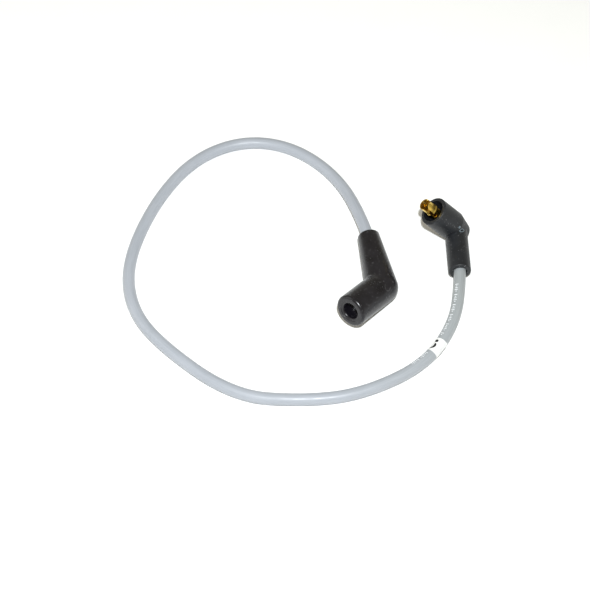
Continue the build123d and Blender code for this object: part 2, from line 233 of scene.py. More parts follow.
def new_object(name, vertices, faces):
    """Mesh object from points and faces, smooth except across its sharp edges."""
    mesh = bpy.data.meshes.new(name)
    mesh.from_pydata([tuple(v) for v in vertices], [], faces)
    obj = bpy.data.objects.new(name, mesh)
    bpy.context.scene.collection.objects.link(obj)
    tidy_mesh(obj)
    return obj


def tidy_mesh(obj):
    """Turns every face outwards and sets smooth shading with sharp edges kept."""
    mesh = obj.data
    work = bmesh.new()
    work.from_mesh(mesh)
    bmesh.ops.recalc_face_normals(work, faces=work.faces)
    work.to_mesh(mesh)
    work.free()
    mesh.polygons.foreach_set("use_smooth", [True] * len(mesh.polygons))
    mesh.set_sharp_from_angle(angle=SMOOTH_BELOW)
    mesh.update()


def apply_modifiers(obj):
    """Replaces the object's mesh by what its modifiers make of it."""
    evaluated = obj.evaluated_get(bpy.context.evaluated_depsgraph_get())
    mesh = bpy.data.meshes.new_from_object(evaluated)
    obj.modifiers.clear()
    obj.data = mesh
    tidy_mesh(obj)


def spline_line(points):
    """Points along the smooth NURBS line that has the route's points as control points."""
    data = bpy.data.curves.new("route", "CURVE")
    data.dimensions = "3D"
    data.resolution_u = 32
    spline = data.splines.new("NURBS")
    spline.points.add(len(points) - 1)
    for control, place in zip(spline.points, points):
        control.co = (*place, 1.0)
    spline.order_u = 3
    spline.use_endpoint_u = True
    obj = bpy.data.objects.new("route", data)
    mesh = bpy.data.meshes.new_from_object(obj)
    line = np.array([v.co for v in mesh.vertices])
    bpy.data.meshes.remove(mesh)
    bpy.data.objects.remove(obj)
    bpy.data.curves.remove(data)
    return line


class Line:
    """A smooth line with places along it by distance."""

    def __init__(self, points):
        self.points = points
        steps = np.linalg.norm(np.diff(points, axis=0), axis=1)
        self.along = np.concatenate([[0.0], np.cumsum(steps)])
        self.length = self.along[-1]

    def place(self, distance):
        return np.array([np.interp(distance, self.along, self.points[:, k]) for k in range(3)])

    def frame(self, distance):
        """Middle point, sideways and upward unit vectors of the line's cross-section."""
        reach = 0.5 * MM
        low = max(0.0, distance - reach)
        high = min(self.length, distance + reach)
        ahead = self.place(high) - self.place(low)
        ahead = ahead / np.linalg.norm(ahead)
        side = np.cross((0.0, 0.0, 1.0), ahead)
        side = side / np.linalg.norm(side)
        return self.place(distance), side, np.cross(ahead, side)


def on_line(line, distance, angle, radius):
    """Point beside a line: angle 0 is straight up, positive towards the line's left."""
    middle, side, up = line.frame(distance)
    return middle + radius * (cos(angle) * up + sin(angle) * side)


def ring_faces(rings, count, closed_ends=False):
    """Quads between successive rings of the same number of points."""
    faces = []
    for ring in range(rings - 1):
        for k in range(count):
            a = ring * count + k
            b = ring * count + (k + 1) % count
            faces.append((a, b, b + count, a + count))
    if closed_ends:
        faces.append(tuple(reversed(range(count))))
        faces.append(tuple(range((rings - 1) * count, rings * count)))
    return faces


def joined_ends(rings, count):
    """Quads between the last ring and the first, where the chain of rings is closed."""
    last = (rings - 1) * count
    return [(last + k, last + (k + 1) % count, (k + 1) % count, k) for k in range(count)]


def sweep_profile(name, line, start, end, profile, step):
    """Solid whose cross-section, a closed list of (angle, radius), follows a stretch of line."""
    rings = max(2, round((end - start) / step) + 1)
    vertices = []
    for distance in np.linspace(start, end, rings):
        vertices += [on_line(line, distance, angle, radius) for angle, radius in profile]
    return new_object(name, vertices, ring_faces(rings, len(profile), closed_ends=True))


def sweep_tube(name, line, outer, inner):
    """Hollow tube, or solid bar where inner is zero, along a whole line."""
    sides = CABLE_SIDES
    rings = round(line.length / CABLE_STEP) + 1
    distances = np.linspace(0.0, line.length, rings)
    angles = [tau * k / sides for k in range(sides)]
    vertices = []
    lay = []
    walls = [outer] if inner == 0 else [outer, inner]
    for radius in walls:
        for distance in distances:
            middle, side, up = line.frame(distance)
            for angle in angles:
                vertices.append(middle + radius * (cos(angle) * up + sin(angle) * side))
                lay.append((distance, cos(angle), sin(angle)))
    faces = ring_faces(rings, sides, closed_ends=len(walls) == 1)
    if len(walls) == 2:
        shift = rings * sides
        faces += [tuple(shift + k for k in reversed(face)) for face in ring_faces(rings, sides)]
        last = (rings - 1) * sides
        for k in range(sides):
            n = (k + 1) % sides
            faces.append((k, shift + k, shift + n, n))
            faces.append((last + n, last + shift + n, last + shift + k, last + k))
    obj = new_object(name, vertices, faces)
    attribute = obj.data.attributes.new("lay", "FLOAT_VECTOR", "POINT")
    attribute.data.foreach_set("vector", np.array(lay, np.float32).ravel())
    return obj


# ---------------------------------------------------------------- material helpers

class Paint:
    """A node material round one Principled shader, with short ways to add to it."""

    def __init__(self, name):
        self.material = bpy.data.materials.new(name)
        self.material.use_nodes = True
        self.tree = self.material.node_tree
        self.shader = self.tree.nodes["Principled BSDF"]

    def node(self, kind, **settings):
        node = self.tree.nodes.new(kind)
        for key, value in settings.items():
            setattr(node, key, value)
        return node

    def link(self, source, target):
        self.tree.links.new(source, target)

    def place(self, stretch=(1.0, 1.0, 1.0)):
        """Object coordinates in metres, stretched."""
        coordinates = self.node("ShaderNodeTexCoord")
        mapping = self.node("ShaderNodeMapping")
        mapping.inputs["Scale"].default_value = stretch
        self.link(coordinates.outputs["Object"], mapping.inputs["Vector"])
        return mapping.outputs["Vector"]

    def lay(self, stretch):
        """Coordinates that run along and round the cable, stretched."""
        attribute = self.node("ShaderNodeAttribute", attribute_name="lay")
        mapping = self.node("ShaderNodeMapping")
        mapping.inputs["Scale"].default_value = stretch
        self.link(attribute.outputs["Vector"], mapping.inputs["Vector"])
        return mapping.outputs["Vector"]

    def noise(self, where, scale, detail=3.0):
        texture = self.node("ShaderNodeTexNoise")
        texture.inputs["Scale"].default_value = scale
        texture.inputs["Detail"].default_value = detail
        self.link(where, texture.inputs["Vector"])
        return texture.outputs["Fac"]

    def ramp(self, factor, *stops):
        """Colour or grey level by factor; each stop is (position, colour)."""
        ramp = self.node("ShaderNodeValToRGB")
        elements = ramp.color_ramp.elements
        while len(elements) < len(stops):
            elements.new(0.5)
        for element, (position, colour) in zip(elements, stops):
            element.position = position
            grey = isinstance(colour, (int, float))
            element.color = (colour, colour, colour, 1.0) if grey else (*colour, 1.0)
        self.link(factor, ramp.inputs["Fac"])
        return ramp.outputs["Color"]

    def mix(self, factor, first, second):
        """Blend of two colours, by a socket or by one number for the whole surface."""
        mix = self.node("ShaderNodeMix", data_type="RGBA")
        if isinstance(factor, float):
            mix.inputs["Factor"].default_value = factor
        else:
            self.link(factor, mix.inputs["Factor"])
        self.link(first, mix.inputs["A"])
        self.link(second, mix.inputs["B"])
        return mix.outputs["Result"]

    def bump(self, height, distance, strength):
        """Adds a bump on top of the ones already there."""
        bump = self.node("ShaderNodeBump")
        bump.inputs["Distance"].default_value = distance
        bump.inputs["Strength"].default_value = strength
        self.link(height, bump.inputs["Height"])
        before = self.shader.inputs["Normal"].links
        if before:
            self.link(before[0].from_socket, bump.inputs["Normal"])
        self.link(bump.outputs["Normal"], self.shader.inputs["Normal"])

    def colour(self, socket):
        self.link(socket, self.shader.inputs["Base Color"])

    def roughness(self, socket):
        self.link(socket, self.shader.inputs["Roughness"])

    def set(self, **values):
        names = {
            "metallic": "Metallic",
            "specular": "Specular IOR Level",
            "coat": "Coat Weight",
            "coat_roughness": "Coat Roughness",
            "sheen": "Sheen Weight",
            "sheen_roughness": "Sheen Roughness",
        }
        for key, value in values.items():
            self.shader.inputs[names[key]].default_value = value


# ---------------------------------------------------------------- materials

def cable_sheath():
    """Satin silicone sleeve, blue-grey, darker and greener towards the transformer end."""
    paint = Paint("cable_sheath")
    paint.set(specular=0.45, sheen=0.08, sheen_roughness=0.5)
    mottle = paint.noise(paint.place(), 60.0, detail=4.0)
    base = paint.ramp(mottle, (0.3, (0.315, 0.34, 0.38)), (0.7, (0.37, 0.395, 0.44)))
    streak = paint.noise(paint.lay((25.0, 5.0, 5.0)), 3.0, detail=4.0)
    streaks = paint.ramp(streak, (0.35, (0.30, 0.325, 0.365)), (0.65, (0.40, 0.42, 0.465)))
    # The sleeve's colour turns darker and greener towards the transformer end.
    darker_end = paint.ramp(streak, (0.35, (0.27, 0.29, 0.30)), (0.65, (0.325, 0.345, 0.355)))
    along = paint.node("ShaderNodeSeparateXYZ")
    paint.link(paint.lay((1.0, 1.0, 1.0)), along.inputs["Vector"])
    near_end = paint.ramp(along.outputs["X"], (DARKER_FROM, 0.0), (DARKER_FULLY, 1.0))
    paint.colour(paint.mix(near_end, paint.mix(0.5, base, streaks), darker_end))
    smudge = paint.noise(paint.place(), 180.0, detail=3.0)
    paint.roughness(paint.ramp(smudge, (0.3, 0.34), (0.7, 0.50)))
    grain = paint.noise(paint.place(), 2500.0, detail=2.0)
    paint.bump(grain, 0.02 * MM, 0.4)
    paint.bump(streak, 0.03 * MM, 0.4)
    return paint.material


def label_film():
    """White paper label under a thin clear film."""
    paint = Paint("label_film")
    paint.set(coat=0.25, coat_roughness=0.25)
    fibre = paint.noise(paint.place(), 1500.0, detail=4.0)
    paint.colour(paint.ramp(fibre, (0.3, (0.72, 0.73, 0.74)), (0.7, (0.80, 0.80, 0.79))))
    paint.roughness(paint.ramp(fibre, (0.3, 0.40), (0.7, 0.55)))
    paint.bump(fibre, 0.02 * MM, 0.5)
    return paint.material


def print_ink(name, dark, light):
    """Printing ink with a worn, uneven cover; also serves for the painted shade stripe on the label."""
    paint = Paint(name)
    cover = paint.noise(paint.place(), 1400.0, detail=3.0)
    paint.colour(paint.ramp(cover, (0.35, dark), (0.65, light)))
    paint.roughness(paint.ramp(cover, (0.3, 0.45), (0.7, 0.65)))
    return paint.material


def glass_braid():
    """Plaited glass yarn."""
    paint = Paint("glass_braid")
    wave = paint.noise(paint.lay((600.0, 6.0, 6.0)), 2.0, detail=2.0)
    paint.colour(paint.ramp(wave, (0.35, (0.45, 0.40, 0.30)), (0.65, (0.72, 0.67, 0.55))))
    paint.roughness(paint.ramp(wave, (0.3, 0.6), (0.7, 0.8)))
    paint.bump(wave, 0.1 * MM, 0.8)
    return paint.material


def core_insulation():
    """Off-white silicone."""
    paint = Paint("insulation")
    grain = paint.noise(paint.place(), 1500.0)
    paint.colour(paint.ramp(grain, (0.3, (0.62, 0.62, 0.60)), (0.7, (0.70, 0.70, 0.68))))
    paint.roughness(paint.ramp(grain, (0.3, 0.5), (0.7, 0.65)))
    paint.bump(grain, 0.03 * MM, 0.5)
    return paint.material


def metal(name, dark, light, low_roughness, high_roughness):
    """Worn sheet metal or wire: tone and roughness vary, with fine drawn scratches."""
    paint = Paint(name)
    paint.set(metallic=1.0)
    tone = paint.noise(paint.place(), 250.0, detail=4.0)
    paint.colour(paint.ramp(tone, (0.3, dark), (0.7, light)))
    scratch = paint.noise(paint.place((1.0, 1.0, 0.15)), 900.0, detail=4.0)
    paint.roughness(paint.ramp(scratch, (0.3, low_roughness), (0.7, high_roughness)))
    paint.bump(scratch, 0.01 * MM, 0.4)
    return paint.material


def rubber(name, dark, light, low_roughness, high_roughness, dust):
    """Moulded rubber: fine grain, smears, and pale specks where a noise passes the dust level."""
    paint = Paint(name)
    paint.set(specular=0.5)
    smear = paint.noise(paint.place(), 120.0, detail=5.0)
    base = paint.ramp(smear, (0.3, dark), (0.75, light))
    speck = paint.noise(paint.place(), 1400.0, detail=2.0)
    dust_cover = paint.ramp(speck, (dust, 0.0), (dust + 0.03, 1.0))
    pale = paint.ramp(speck, (0.0, (0.12, 0.12, 0.125)), (1.0, (0.20, 0.20, 0.21)))
    paint.colour(paint.mix(dust_cover, base, pale))
    paint.roughness(paint.ramp(smear, (0.3, low_roughness), (0.7, high_roughness)))
    grain = paint.noise(paint.place(), 3000.0, detail=3.0)
    paint.bump(grain, 0.05 * MM, 0.5)
    flow = paint.noise(paint.place(), 260.0, detail=2.0)
    paint.bump(flow, 0.12 * MM, 0.25)
    return paint.material


def floor_surface():
    """Plain pale table top."""
    paint = Paint("floor")
    paint.set(specular=0.1)
    grain = paint.noise(paint.place(), 40.0, detail=2.0)
    paint.colour(paint.ramp(grain, (0.0, (0.93, 0.93, 0.93)), (1.0, (0.955, 0.955, 0.955))))
    paint.roughness(paint.ramp(grain, (0.0, 0.85), (1.0, 0.95)))
    return paint.material


# ---------------------------------------------------------------- the cable

def finish_piece(obj, body, material):
    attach(obj, body)
    obj.data.materials.clear()
    obj.data.materials.append(material)
    return obj


def make_cable(line, paints):
    """Four layers that follow the same line, one inside the other."""
    layers = [
        ("cable_sleeve", "cable_jacket", JACKET_RADIUS, BRAID_RADIUS + LAYER_GAP, "cable_sheath"),
        ("cable_braid", "cable_glass_braid", BRAID_RADIUS, INSULATION_RADIUS + LAYER_GAP, "glass_braid"),
        ("cable_core", "cable_insulation", INSULATION_RADIUS, CONDUCTOR_RADIUS + LAYER_GAP, "insulation"),
        ("cable_wire", "cable_conductor", CONDUCTOR_RADIUS, 0, "conductor"),
    ]
    made = []
    for name, node, outer, inner, slot in layers:
        layer = sweep_tube(name, line, outer, inner)
        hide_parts(node)
        made.append(finish_piece(layer, "cable", paints[slot]))
    return made


def lap_lift(angle):
    """How far the label stands off the cable at an angle from its start."""
    climb = min(1.0, max(0.0, (angle - tau + LABEL_CLIMB) / LABEL_CLIMB))
    tail = min(1.0, max(0.0, (angle - tau) / LABEL_LAP))
    return LABEL_CLIMB_HEIGHT * climb + LABEL_TAIL_LIFT * tail ** 2


def label_profile():
    """Cross-section of a strip wound once round: its end laps over its start and stands off."""
    lap_steps = round(LABEL_SIDES * LABEL_LAP / tau)
    angles = [tau * k / LABEL_SIDES for k in range(LABEL_SIDES + 1)]
    angles += [tau + LABEL_LAP * k / lap_steps for k in range(1, lap_steps + 1)]
    inner = JACKET_RADIUS + LABEL_GAP
    inside = [(LABEL_START + a, inner + lap_lift(a)) for a in angles]
    outside = [(LABEL_START + a, inner + LABEL_THICKNESS + lap_lift(a)) for a in angles]
    return inside + outside[::-1]


def make_label(line, paints):
    middle = line.length - LABEL_DISTANCE
    start = middle - LABEL_LENGTH / 2
    end = start + LABEL_LENGTH
    label = sweep_profile("cable_wrap_label", line, start, end, label_profile(), LABEL_STEP)
    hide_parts("cable_label")
    return finish_piece(label, "cable", paints["label_film"])


def raised_strokes(name, line, strokes, radius, height):
    """Thin strokes of print on a round surface, each a list of (distance, around, half width)."""
    across = (-1.0, -0.5, 0.0, 0.5, 1.0)
    vertices = []
    faces = []
    for stroke in strokes:
        first = len(vertices)
        for k, (distance, around, half) in enumerate(stroke):
            before = stroke[max(0, k - 1)]
            after = stroke[min(len(stroke) - 1, k + 1)]
            ahead = after[0] - before[0]
            aside = after[1] - before[1]
            length = hypot(ahead, aside)
            for level, shares in ((radius + height, across), (radius - height, across[::-1])):
                for share in shares:
                    place = distance - share * half * aside / length
                    turn = (around + share * half * ahead / length) / radius
                    vertices.append(on_line(line, place, turn, level))
        sides = 2 * len(across)
        for face in ring_faces(len(stroke), sides, closed_ends=True):
            faces.append(tuple(first + corner for corner in face))
    return new_object(name, vertices, faces)


def bar(distance, around, length, half_width):
    """Straight stroke of print that runs round the cable, centred at a place on it."""
    steps = 4
    return [(distance, around + length * (k / steps - 0.5), half_width) for k in range(steps + 1)]


def make_cable_print(line, paints):
    """Rows of plain tick marks in place of the printed cable description."""
    strokes = []
    around = JACKET_RADIUS * PRINT_ANGLE
    for first, last in PRINT_ROWS:
        for k in range(round((last - first) / PRINT_PITCH) + 1):
            distance = line.length - first - k * PRINT_PITCH
            if k % PRINT_GROUP == PRINT_GROUP - 1:
                continue
            length = PRINT_LENGTHS[k % len(PRINT_LENGTHS)]
            strokes.append(bar(distance, around, length, PRINT_HALF_WIDTH))
    marks = raised_strokes("cable_tick_marks", line, strokes, JACKET_RADIUS, PRINT_HEIGHT)
    return finish_piece(marks, "cable", paints["print_white"])


def dot_stroke(line):
    """Round stroke: its half width follows a circle, from just inside one end to the other."""
    steps = 8
    middle = line.length - LABEL_DOT_BACK
    widest = LABEL_DOT_WIDENING * LABEL_DOT_RADIUS
    stroke = []
    for k in range(steps + 1):
        x = cos(tau / 2 * (0.03 + 0.94 * k / steps))
        stroke.append((middle - x * LABEL_DOT_RADIUS, LABEL_DOT_AROUND, widest * sqrt(1 - x * x)))
    return stroke


def table_stroke(line, rows):
    """Stroke from a table of distance back, place round the cable and half width."""
    return [(line.length - back * MM, around * MM, half * MM) for back, around, half in rows]


def make_label_marks(line, paints):
    """A dot and a crescent in place of the label's print, and a stripe of painted shade along one side.
    """
    outside = JACKET_RADIUS + LABEL_GAP + LABEL_THICKNESS
    print_strokes = [dot_stroke(line), table_stroke(line, LABEL_CRESCENT)]
    marks = raised_strokes("cable_label_marks", line, print_strokes, outside, PRINT_HEIGHT)
    # A grey stripe of painted shade along the label's outer flank.
    painted_shade = raised_strokes(
        "cable_label_painted_shade", line, [table_stroke(line, LABEL_PAINTED_SHADE)],
        outside + PAINTED_SHADE_LIFT, PAINTED_SHADE_HEIGHT)
    return [
        finish_piece(marks, "cable", paints["print_black"]),
        finish_piece(painted_shade, "cable", paints["label_painted_shade"]),
    ]


# ---------------------------------------------------------------- outlines and rings

def round_corners(corners):
    """Open outline with arcs at its corners; each corner is (radius, height, rounding)."""
    outline = []
    for k, (radius, height, rounding) in enumerate(corners):
        here = np.array((radius, height), float)
        if rounding == 0:
            outline.append(here)
            continue
        back = np.array(corners[k - 1][:2]) - here
        ahead = np.array(corners[k + 1][:2]) - here
        back = back / np.linalg.norm(back)
        ahead = ahead / np.linalg.norm(ahead)
        half = acos(np.clip(back @ ahead, -1, 1)) / 2
        middle = here + (back + ahead) / np.linalg.norm(back + ahead) * rounding / sin(half)
        start = here + back * rounding * cos(half) / sin(half) - middle
        end = here + ahead * rounding * cos(half) / sin(half) - middle
        for step in range(CORNER_STEPS + 1):
            share = step / CORNER_STEPS
            spoke = start * (1 - share) + end * share
            outline.append(middle + spoke / np.linalg.norm(spoke) * rounding)
    return outline


def filled_out(outline):
    """The outline with extra points along its long stretches."""
    full = [outline[0]]
    for before, after in zip(outline, outline[1:]):
        stretch = np.subtract(after, before)
        parts = max(1, int(np.linalg.norm(stretch) / OUTLINE_STEP))
        full += [before + stretch * k / parts for k in range(1, parts + 1)]
    return full


def boot_matrix(elbow, neck_azimuth, roll):
    """From a boot's own frame in millimetres to the row frame in metres."""
    azimuth = radians(neck_azimuth)
    neck = Vector((cos(azimuth), sin(azimuth), 0.0))
    level = Vector((0, 0, 1)).cross(neck)
    if level.x > 0:
        level.negate()
    side = level * cos(radians(roll)) + Vector((0, 0, 1)) * sin(radians(roll))
    matrix = Matrix((side, neck.cross(side), neck)).transposed().to_4x4()
    matrix.translation = Vector(elbow) * MM
    return matrix @ Matrix.Scale(MM, 4)


def ellipse(centre, inward, half_in, half_side):
    """Ring of points in a boot's frame; centre and inward are in its X-Z plane."""
    ring = []
    for k in range(BOOT_SIDES):
        angle = tau * k / BOOT_SIDES
        x, z = np.array(centre) + np.array(inward) * half_in * cos(angle)
        ring.append(Vector((x, half_side * sin(angle), z)))
    return ring


# ---------------------------------------------------------------- electrode boot

# In the boot's X-Z plane: along the arm, and out from it on the inside of the bend.
ARM = np.array((sin(ELECTRODE_ANGLE), cos(ELECTRODE_ANGLE)))
ACROSS = np.array((-ARM[1], ARM[0]))
NECK_SLOPE = (ELECTRODE_NECK_ROOT_RADIUS - ELECTRODE_NECK_END_RADIUS) / ELECTRODE_NECK_LENGTH

# The elbow's rings fan round the pivot, the middle of the rounding between neck and arm.
PIVOT = np.linalg.solve(
    np.array([(1.0, NECK_SLOPE), ACROSS]),
    np.array((ELECTRODE_NECK_ROOT_RADIUS, ELECTRODE_ARM_RADIUS)) + ELECTRODE_CREASE,
)
NECK_START = PIVOT[1]
ARM_START = float(PIVOT @ ARM)


def neck_radius(height):
    return ELECTRODE_NECK_ROOT_RADIUS - NECK_SLOPE * height


def far_side(direction):
    """Distance from the pivot to the outside of the elbow, on a line through the body."""
    neck_gap = -ELECTRODE_NECK_ROOT_RADIUS + NECK_SLOPE * PIVOT[1] - PIVOT[0]
    to_neck = neck_gap / (direction[0] - NECK_SLOPE * direction[1])
    if PIVOT[1] + to_neck * direction[1] >= 0:
        return to_neck
    to_arm = (-ELECTRODE_ARM_RADIUS - PIVOT @ ACROSS) / (direction @ ACROSS)
    if (PIVOT + to_arm * direction) @ ARM >= 0:
        return to_arm
    ball = (ELECTRODE_NECK_ROOT_RADIUS + ELECTRODE_ARM_RADIUS) / 2
    along = PIVOT @ direction
    return -along + sqrt(along ** 2 - PIVOT @ PIVOT + ball ** 2)


def neck_rings():
    """From the bore at the elbow out to the neck's end, and back along its outside."""
    length = ELECTRODE_NECK_LENGTH
    outline = filled_out(round_corners([
        (ELECTRODE_NECK_BORE, NECK_START, 0),
        (ELECTRODE_NECK_BORE, ELECTRODE_NECK_MOUTH_FLOOR, 0),
        (ELECTRODE_NECK_MOUTH_RADIUS, ELECTRODE_NECK_MOUTH_FLOOR, 0),
        (ELECTRODE_NECK_MOUTH_RADIUS, length, 0.35),
        (ELECTRODE_NECK_END_RADIUS, length, 0.7),
        (neck_radius(NECK_START), NECK_START, 0),
    ]))
    return [ellipse((0, height), (1, 0), radius, radius) for radius, height in outline]


def arm_rings():
    """From the outside at the elbow to the arm's face, through its mouth and into the bore."""
    reach = ELECTRODE_ARM_LENGTH
    recess = reach - ELECTRODE_RECESS_DEPTH
    floor = reach - ELECTRODE_MOUTH_DEPTH
    outline = filled_out(round_corners([
        (ELECTRODE_ARM_RADIUS, ARM_START, 0),
        (ELECTRODE_ARM_RADIUS, reach, 1.6),
        (ELECTRODE_RECESS_RADIUS, reach, 0.25),
        (ELECTRODE_RECESS_FLOOR_RADIUS, recess, 0.25),
        (ELECTRODE_MOUTH_RADIUS, recess, 1.0),
        (ELECTRODE_MOUTH_RADIUS, floor, 0.2),
        (ELECTRODE_ARM_BORE_END, floor, 0),
        (ELECTRODE_ARM_BORE, ARM_START, 0),
    ]))
    return [ellipse(ARM * height, ACROSS, radius, radius) for radius, height in outline]


def elbow_ring(direction, near, far, half_side):
    """Ring between two distances from the pivot."""
    middle = PIVOT + direction * (near + far) / 2
    return ellipse(middle, -direction, (far - near) / 2, half_side)


def elbow_rings():
    """The elbow's outside from neck to arm, and its bore from neck to arm."""
    outside = []
    bore = []
    for step in range(1, ELBOW_STEPS):
        share = step / ELBOW_STEPS
        direction = np.array((-1.0, 0.0)) * (1 - share) - ACROSS * share
        direction = direction / np.linalg.norm(direction)
        width = neck_radius(NECK_START * max(0.0, 1 - 2 * share))
        outside.append(elbow_ring(direction, ELECTRODE_CREASE, far_side(direction), width))
        middle = PIVOT[0] * (1 - share) + (PIVOT @ ACROSS) * share
        radius = ELECTRODE_NECK_BORE * (1 - share) + ELECTRODE_ARM_BORE * share
        bore.append(elbow_ring(direction, middle - radius, middle + radius, radius))
    return outside, bore


def electrode_boot(paints):
    """Boot with a tapered neck, a rounded elbow and a straight arm, hollow right through."""
    outside, bore = elbow_rings()
    rings = neck_rings() + outside + arm_rings() + bore[::-1]
    matrix = boot_matrix(ELECTRODE_ELBOW, ELECTRODE_NECK_AZIMUTH, ELECTRODE_ROLL)
    vertices = [matrix @ point for ring in rings for point in ring]
    faces = ring_faces(len(rings), BOOT_SIDES) + joined_ends(len(rings), BOOT_SIDES)
    boot = new_object("electrode_boot_moulding", vertices, faces)
    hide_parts("electrode_boot")
    return finish_piece(boot, "electrode_end", paints["electrode_boot_rubber"])


# ---------------------------------------------------------------- moulded marks on the boots

def dropped_path(base, centre, inward, along, half_sizes, share):
    """Points and normals of a surface under an oval, or under the first share of one."""
    mesh = base.data
    tree = BVHTree.FromPolygons([v.co for v in mesh.vertices], [p.vertices for p in mesh.polygons])
    across = inward.cross(along)
    closed = share == 1
    steps = BEAD_STEPS if closed else OPEN_BEAD_STEPS
    path = []
    for k in range(steps if closed else steps + 1):
        turn = tau * share * k / steps
        offset = along * half_sizes[0] * cos(turn) + across * half_sizes[1] * sin(turn)
        place, normal, _, _ = tree.ray_cast(centre + offset - inward * BEAD_DROP, inward)
        path.append((place, normal))
    return path


def moulded_bead(name, path, wire, closed):
    """Round bead of a wire's radius along a path of points and normals."""
    count = len(path)
    vertices = []
    for k, (place, normal) in enumerate(path):
        before = path[k - 1][0] if closed else path[max(0, k - 1)][0]
        after = path[(k + 1) % count][0] if closed else path[min(count - 1, k + 1)][0]
        side = (after - before).normalized().cross(normal)
        for corner in range(BEAD_SIDES):
            angle = tau * corner / BEAD_SIDES
            vertices.append(place + wire * (cos(angle) * normal + sin(angle) * side))
    faces = ring_faces(count, BEAD_SIDES, closed_ends=not closed)
    if closed:
        faces += joined_ends(count, BEAD_SIDES)
    return new_object(name, vertices, faces)


def make_boot_marks(electrode_boot_piece, paints):
    """Plain moulded marks: an oval and a dot on one boot, an open ring on the other, coloured paler than
    their rubber as a painted highlight.
    """
    side = boot_matrix(TRANSFORMER_ELBOW, TRANSFORMER_NECK_AZIMUTH, TRANSFORMER_ROLL)
    inward = (side.to_3x3() @ Vector((0, 1, 0))).normalized()
    along = (side.to_3x3() @ Vector((0.8, 0, 0.6))).normalized()
    for name, place, half_sizes, wire in TRANSFORMER_MARKS:
        path = dropped_path(
            nodes["transformer_boot"], side @ Vector(place), inward, along, half_sizes, 1)
        bead = moulded_bead(name, path, wire, closed=True)
        finish_piece(bead, "transformer_end", paints["transformer_boot_marks_painted_highlight"])
    side = boot_matrix(ELECTRODE_ELBOW, ELECTRODE_NECK_AZIMUTH, ELECTRODE_ROLL)
    inward = (side.to_3x3() @ Vector(ELECTRODE_MARK_INWARD)).normalized()
    along = inward.cross((side.to_3x3() @ Vector((0, 0, 1))).normalized()).normalized()
    path = dropped_path(
        electrode_boot_piece, side @ Vector(ELECTRODE_MARK_PLACE), inward, along,
        ELECTRODE_MARK_HALF_SIZES, ELECTRODE_MARK_SHARE)
    bead = moulded_bead("electrode_boot_mark", path, ELECTRODE_MARK_WIRE, closed=False)
    finish_piece(bead, "electrode_end", paints["electrode_boot_marks_painted_highlight"])


# ---------------------------------------------------------------- transformer terminal

def snap_tip(angle):
    """Height of the snap terminal's free edge at an angle from its narrow finger's middle."""
    half = SNAP_FINGER_ANGLE / 2
    if abs(angle) <= half:
        reach = SNAP_RADIUS * sin(radians(half))
        return SNAP_TIP - reach + sqrt(max(0.0, reach ** 2 - (SNAP_RADIUS * sin(radians(angle))) ** 2))
    corner = SNAP_RADIUS * cos(radians(half + SNAP_SLOT_ANGLE)) - SNAP_TIP_ROUND
    past = SNAP_RADIUS * cos(radians(angle)) - corner
    if past <= 0:
        return SNAP_TIP
    return SNAP_TIP - SNAP_TIP_ROUND + sqrt(max(0.0, SNAP_TIP_ROUND ** 2 - past ** 2))


def snap_columns():
    """Columns of points round the terminal: each one's angle, and whether a slot starts there."""
    half = SNAP_FINGER_ANGLE / 2
    slot_end = half + SNAP_SLOT_ANGLE
    stretches = (
        (-half, half, 14, False),
        (half, slot_end, 6, True),
        (slot_end, 360 - slot_end, 30, False),
        (360 - slot_end, 360 - half, 6, True),
    )
    columns = []
    for start, end, count, slotted in stretches:
        columns += [(start + (end - start) * k / count, slotted) for k in range(count)]
    return columns


def snap_point(angle, height):
    """Point in the middle of the terminal's sheet, in the boot's own frame."""
    heights, radii = zip(*SNAP_PROFILE)
    radius = np.interp(height, heights, radii) - SNAP_WALL / 2
    turn = radians(angle + SNAP_FINGER_DIRECTION)
    return Vector((height, radius * sin(turn), -radius * cos(turn)))


def snap_sheet():
    """Points and faces of the terminal's sheet: base, tube with two slots, and shaped tips."""
    columns = snap_columns()
    count = len(columns)
    straight_rows = SNAP_TUBE_ROWS + SNAP_FINGER_ROWS
    last = straight_rows[-1]
    vertices = [snap_point(angle, row) for row in straight_rows for angle, _ in columns]
    for row in range(1, SNAP_TIP_ROWS + 1):
        share = 1 - (1 - row / SNAP_TIP_ROWS) ** 1.5
        for angle, _ in columns:
            top = snap_tip(angle if angle <= 180 else angle - 360)
            vertices.append(snap_point(angle, last + (top - last) * share))
    faces = [tuple(range(count))]
    for row in range(len(straight_rows) + SNAP_TIP_ROWS - 1):
        for k, (_, slotted) in enumerate(columns):
            if slotted and row >= len(SNAP_TUBE_ROWS) - 1:
                continue
            n = (k + 1) % count
            low = row * count
            faces.append((low + k, low + n, low + count + n, low + count + k))
    return vertices, faces


def thicken(terminal):
    """Gives the sheet its thickness and rounds its edges."""
    wall = terminal.modifiers.new("wall", "SOLIDIFY")
    wall.thickness = SNAP_WALL * MM
    wall.offset = 0.0
    wall.use_even_offset = True
    edge = terminal.modifiers.new("edge", "BEVEL")
    edge.width = SNAP_EDGE_ROUND * MM
    edge.segments = 2
    edge.limit_method = "ANGLE"
    edge.angle_limit = radians(50)
    apply_modifiers(terminal)


